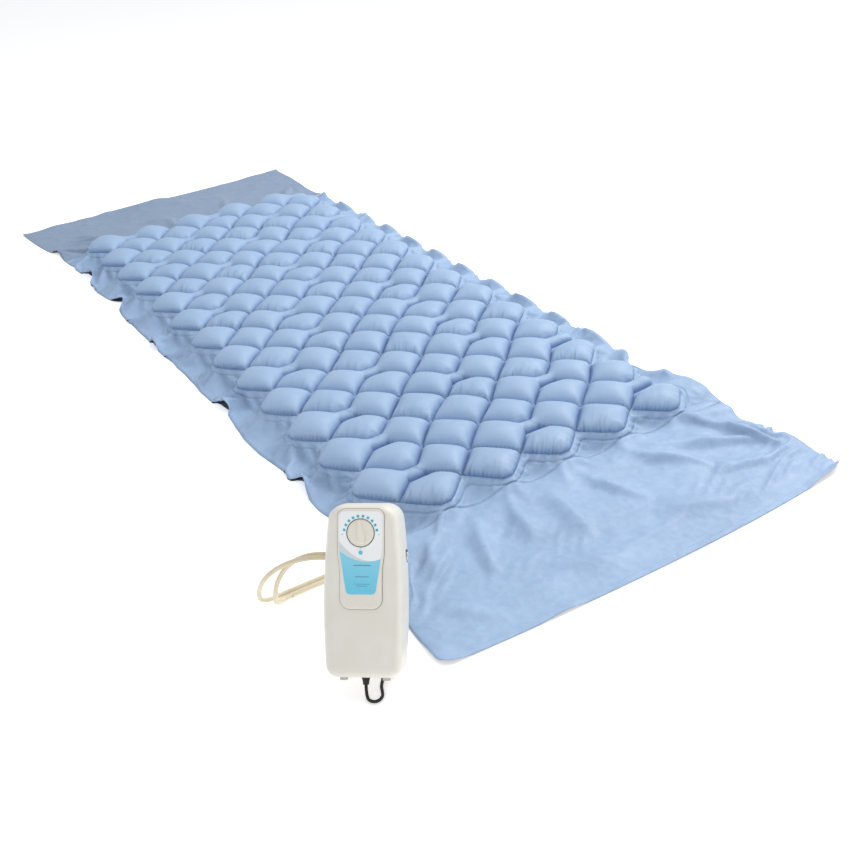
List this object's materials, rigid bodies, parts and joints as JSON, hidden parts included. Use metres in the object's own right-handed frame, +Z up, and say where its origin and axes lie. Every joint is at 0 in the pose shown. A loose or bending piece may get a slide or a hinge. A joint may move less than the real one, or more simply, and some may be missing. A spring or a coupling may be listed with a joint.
{
  "type": "pressure relief mattress",
  "caption": "Alternating-pressure bubble pad overlay with two interleaved air circuits, tuck-in end flaps, twin hoses and a dial-controlled air pump standing on its hooks.",
  "frame": {"origin": "centre of the underside of the middle air cell of circuit A, on the floor", "axes": "+X across the pad to its port side, +Y from the foot end to the head end, +Z up"},
  "size_m": [1.0863, 2.5176, 0.2604],
  "materials": {
    "film_upper": "satin",
    "film_cells_a": "satin",
    "film_cells_b": "satin",
    "film_under": "satin",
    "film_flap": "satin",
    "film_flap_head": "satin",
    "hose_cream": "satin",
    "port_navy": "gloss",
    "case_cream": "satin",
    "label_print": "satin",
    "dial_cream": "satin",
    "lamp_cyan": "gloss",
    "black_plastic": "satin",
    "grey_plastic": "matte",
    "white_plastic": "satin",
    "black_rubber": "matte",
    "steel": "brushed",
    "laminations": "matte",
    "magnet_grey": "matte",
    "brass": "polished",
    "copper_winding": "satin",
    "felt": "matte",
    "circuit_green": "satin",
    "glass_clear": "gloss"
  },
  "bodies": {
    "pad_and_pump": {"lower_film": "film_under", "upper_film": "film_upper", "head_flap": "film_flap_head", "foot_flap": "film_flap", "port_patch": "film_upper", "air_ports": "port_navy", "hose_a": "hose_cream", "hose_b": "hose_cream", "front_shell": "case_cream", "back_shell": "case_cream", "control_label": "label_print", "regulator_valve": "black_plastic", "lamp_lens": "lamp_cyan", "power_lamp": "glass_clear", "switch_frame": "black_plastic", "outlet_nozzles": "white_plastic", "hook_brackets": "grey_plastic", "rubber_feet": "black_rubber", "case_screws": "steel", "strain_relief": "black_rubber", "power_cord": "black_rubber", "cord_tie": "black_plastic", "plug_body": "black_rubber", "plug_blades": "brass", "filter_felt": "felt", "fuse_holder": "black_plastic", "fuse": "glass_clear", "pump_frame": "grey_plastic", "frame_mounts": "black_rubber", "coil_core": "laminations", "coil_bobbins": "copper_winding", "arm_pins": "steel", "diaphragms": "black_rubber", "pump_chambers": "white_plastic", "chamber_lids": "white_plastic", "timing_motor": "white_plastic", "valve_body": "white_plastic", "circuit_board": "circuit_green", "internal_tubes": "hose_cream"},
    "circuit_a": {"circuit_a_cells": "film_cells_a"},
    "circuit_b": {"circuit_b_cells": "film_cells_b"},
    "dial": {"pressure_dial": "dial_cream", "regulator_stem": "white_plastic"},
    "rocker": {"rocker_switch": "white_plastic"},
    "hooks": {"bed_hooks": "steel"},
    "fuse_cap": {"fuse_cap": "black_plastic"},
    "filter_cover": {"filter_cover": "case_cream"},
    "pump_arm_left": {"arm_left": "steel", "magnet_left": "magnet_grey"},
    "pump_arm_right": {"arm_right": "steel", "magnet_right": "magnet_grey"},
    "valve_disc": {"valve_rotor": "white_plastic"}
  },
  "joints": [
    {"name": "circuit_a_deflate", "type": "slide", "parent": "pad_and_pump", "child": "circuit_a", "axis": [0, 0, 1], "range_m": [-0.024, 0], "stiffness_N_per_m": 2000, "springref_m": 0.006},
    {"name": "circuit_b_deflate", "type": "slide", "parent": "pad_and_pump", "child": "circuit_b", "axis": [0, 0, 1], "range_m": [-0.024, 0], "stiffness_N_per_m": 2000, "springref_m": 0.006},
    {"name": "dial_turn", "type": "hinge", "parent": "pad_and_pump", "child": "dial", "pos_m": [-0.4923, -1.18295, 0.22884], "axis": [0.5221, 0.6683, -0.5299], "range_deg": [-71, 87]},
    {"name": "rocker_tip", "type": "hinge", "parent": "pad_and_pump", "child": "rocker", "pos_m": [-0.43089, -1.18962, 0.16298], "axis": [0.5221, 0.6683, -0.5299], "range_deg": [-20, 0]},
    {"name": "hook_swing", "type": "hinge", "parent": "pad_and_pump", "child": "hooks", "pos_m": [-0.45425, -1.13424, 0.1447], "axis": [0.788, -0.6157, 0], "range_deg": [-25, 68]},
    {"name": "fuse_cap_twist", "type": "hinge", "parent": "pad_and_pump", "child": "fuse_cap", "pos_m": [-0.41817, -1.14979, 0.17385], "axis": [0.5221, 0.6683, -0.5299], "range_deg": [0, 60]},
    {"name": "filter_cover_twist", "type": "hinge", "parent": "pad_and_pump", "child": "filter_cover", "pos_m": [-0.47334, -1.10669, 0.17385], "axis": [0.5221, 0.6683, -0.5299], "range_deg": [0, 30]},
    {"name": "pump_arm_left_swing", "type": "hinge", "parent": "pad_and_pump", "child": "pump_arm_left", "pos_m": [-0.54212, -1.17199, 0.09922], "axis": [0.5221, 0.6683, -0.5299], "range_deg": [-2.5, 2.5], "stiffness_Nm_per_rad": 0.5},
    {"name": "pump_arm_right_swing", "type": "hinge", "parent": "pad_and_pump", "child": "pump_arm_right", "pos_m": [-0.46962, -1.22863, 0.09922], "axis": [0.5221, 0.6683, -0.5299], "range_deg": [-2.5, 2.5], "stiffness_Nm_per_rad": 0.5},
    {"name": "valve_turn", "type": "hinge", "parent": "pad_and_pump", "child": "valve_disc", "pos_m": [-0.47029, -1.18238, 0.15688], "axis": [0.5221, 0.6683, -0.5299], "continuous": true}
  ],
  "couplings": [
    {"joint": "pump_arm_right_swing", "follows": "pump_arm_left_swing", "ratio": -1}
  ]
}
